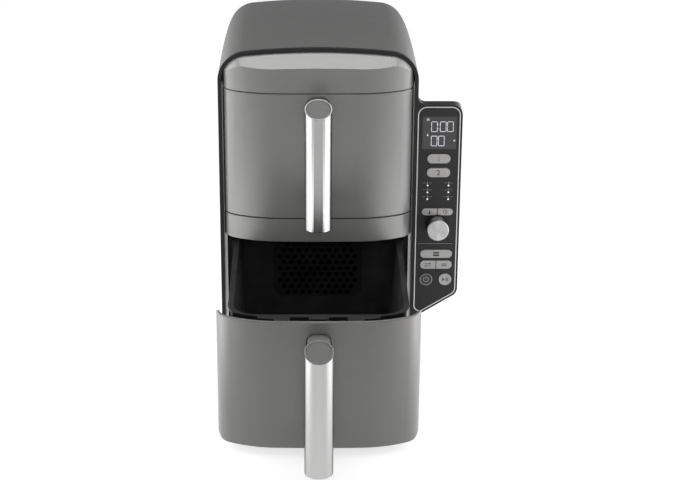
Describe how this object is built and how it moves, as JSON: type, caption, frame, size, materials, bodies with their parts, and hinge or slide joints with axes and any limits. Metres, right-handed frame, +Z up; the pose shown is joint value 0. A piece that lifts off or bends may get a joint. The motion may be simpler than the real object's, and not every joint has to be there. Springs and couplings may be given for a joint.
{
  "type": "air fryer",
  "caption": "Tall air fryer with stacked pull-out drawers, bowed fronts, tubular handles and a control panel on a side wing.",
  "frame": {"origin": "On the floor under the middle of the whole object's box, as it stands with the lower drawer pulled out.", "axes": "+Z up, +Y from the drawer fronts to the rear, +X to the right as seen by the user."},
  "size_m": [0.279, 0.6964, 0.385],
  "materials": {
    "grey_plastic": "fine satin paint over moulded plastic",
    "black_plastic": "fine moulded satin",
    "trim_grey": "satin",
    "rubber": "matte",
    "panel_black": "smooth satin film",
    "silver_trim": "satin silver",
    "display_glass": "smoked clear window",
    "lamp_white": "clear light pipe",
    "circuit_board": "solder mask",
    "spun_metal": "spun face",
    "button_grey": "satin",
    "button_black": "satin",
    "chamber_black": "dark coated steel",
    "heater_steel": "plain steel",
    "motor_metal": "plated can",
    "nonstick_black": "glossy nonstick coat",
    "silicone": "soft matte",
    "chrome": "polished sleeve"
  },
  "bodies": {
    "housing": {"upper_liner": "chamber_black", "upper_rails": "chamber_black", "upper_rear_grille": "chamber_black", "upper_heater": "heater_steel", "upper_motor": "motor_metal", "lower_liner": "chamber_black", "lower_rails": "chamber_black", "lower_rear_grille": "chamber_black", "lower_heater": "heater_steel", "lower_motor": "motor_metal", "base_pan": "black_plastic", "rubber_feet": "rubber", "outer_wrap": "grey_plastic", "rear_cover": "black_plastic", "cord_gland": "rubber", "front_bezel": "black_plastic", "panel_housing": "black_plastic", "top_fascia": "grey_plastic", "divider_fascia": "grey_plastic", "side_trims": "trim_grey", "panel_trim": "silver_trim", "panel_face": "panel_black", "display_window": "display_glass", "indicator_lamps": "lamp_white", "control_board": "circuit_board", "power_board": "circuit_board"},
    "upper_drawer": {"upper_drawer_front": "grey_plastic", "upper_drawer_bracket": "black_plastic", "upper_basket": "nonstick_black", "upper_basket_screen": "nonstick_black", "upper_handle_core": "grey_plastic", "upper_handle_sleeve": "chrome", "upper_handle_screws": "heater_steel"},
    "upper_plate": {"upper_crisper_plate": "nonstick_black", "upper_crisper_bumpers": "silicone"},
    "upper_impeller": {"upper_fan": "heater_steel", "upper_fan_shaft": "heater_steel"},
    "lower_drawer": {"lower_drawer_front": "grey_plastic", "lower_drawer_bracket": "black_plastic", "lower_basket": "nonstick_black", "lower_basket_screen": "nonstick_black", "lower_handle_core": "grey_plastic", "lower_handle_sleeve": "chrome", "lower_handle_screws": "heater_steel"},
    "lower_plate": {"lower_crisper_plate": "nonstick_black", "lower_crisper_bumpers": "silicone"},
    "lower_impeller": {"lower_fan": "heater_steel", "lower_fan_shaft": "heater_steel"},
    "dial": {"dial_knob": "spun_metal", "dial_stem": "black_plastic"},
    "zone_one_button_key": {"zone_one_button": "button_grey"},
    "zone_two_button_key": {"zone_two_button": "button_grey"},
    "temperature_button_key": {"temperature_button": "button_grey"},
    "time_button_key": {"time_button": "button_grey"},
    "both_zones_button_key": {"both_zones_button": "button_grey"},
    "sync_button_key": {"sync_button": "button_grey"},
    "match_button_key": {"match_button": "button_grey"},
    "power_button_key": {"power_button": "button_black"},
    "start_button_key": {"start_button": "button_grey"}
  },
  "joints": [
    {"name": "upper_drawer_slide", "type": "slide", "parent": "housing", "child": "upper_drawer", "axis": [0, -1, 0], "range_m": [0, 0.24]},
    {"name": "lower_drawer_slide", "type": "slide", "parent": "housing", "child": "lower_drawer", "axis": [0, -1, 0], "range_m": [-0.22, 0.02]},
    {"name": "upper_plate_lift", "type": "slide", "parent": "upper_drawer", "child": "upper_plate", "axis": [0, 0, 1], "range_m": [0, 0.09]},
    {"name": "upper_fan_spin", "type": "hinge", "parent": "housing", "child": "upper_impeller", "pos_m": [-0.0255, 0.26704, 0.2669], "axis": [0, 1, 0], "continuous": true},
    {"name": "lower_plate_lift", "type": "slide", "parent": "lower_drawer", "child": "lower_plate", "axis": [0, 0, 1], "range_m": [0, 0.09]},
    {"name": "lower_fan_spin", "type": "hinge", "parent": "housing", "child": "lower_impeller", "pos_m": [-0.0255, 0.26704, 0.0875], "axis": [0, 1, 0], "continuous": true},
    {"name": "dial_turn", "type": "hinge", "parent": "housing", "child": "dial", "pos_m": [0.1135, -0.04196, 0.171], "axis": [0, 1, 0], "continuous": true},
    {"name": "zone_one_button_press", "type": "slide", "parent": "housing", "child": "zone_one_button_key", "axis": [0, 1, 0], "range_m": [0, 0.001], "stiffness_N_per_m": 600},
    {"name": "zone_two_button_press", "type": "slide", "parent": "housing", "child": "zone_two_button_key", "axis": [0, 1, 0], "range_m": [0, 0.001], "stiffness_N_per_m": 600},
    {"name": "temperature_button_press", "type": "slide", "parent": "housing", "child": "temperature_button_key", "axis": [0, 1, 0], "range_m": [0, 0.001], "stiffness_N_per_m": 600},
    {"name": "time_button_press", "type": "slide", "parent": "housing", "child": "time_button_key", "axis": [0, 1, 0], "range_m": [0, 0.001], "stiffness_N_per_m": 600},
    {"name": "both_zones_button_press", "type": "slide", "parent": "housing", "child": "both_zones_button_key", "axis": [0, 1, 0], "range_m": [0, 0.001], "stiffness_N_per_m": 600},
    {"name": "sync_button_press", "type": "slide", "parent": "housing", "child": "sync_button_key", "axis": [0, 1, 0], "range_m": [0, 0.001], "stiffness_N_per_m": 600},
    {"name": "match_button_press", "type": "slide", "parent": "housing", "child": "match_button_key", "axis": [0, 1, 0], "range_m": [0, 0.001], "stiffness_N_per_m": 600},
    {"name": "power_button_press", "type": "slide", "parent": "housing", "child": "power_button_key", "axis": [0, 1, 0], "range_m": [0, 0.001], "stiffness_N_per_m": 600},
    {"name": "start_button_press", "type": "slide", "parent": "housing", "child": "start_button_key", "axis": [0, 1, 0], "range_m": [0, 0.001], "stiffness_N_per_m": 600}
  ]
}
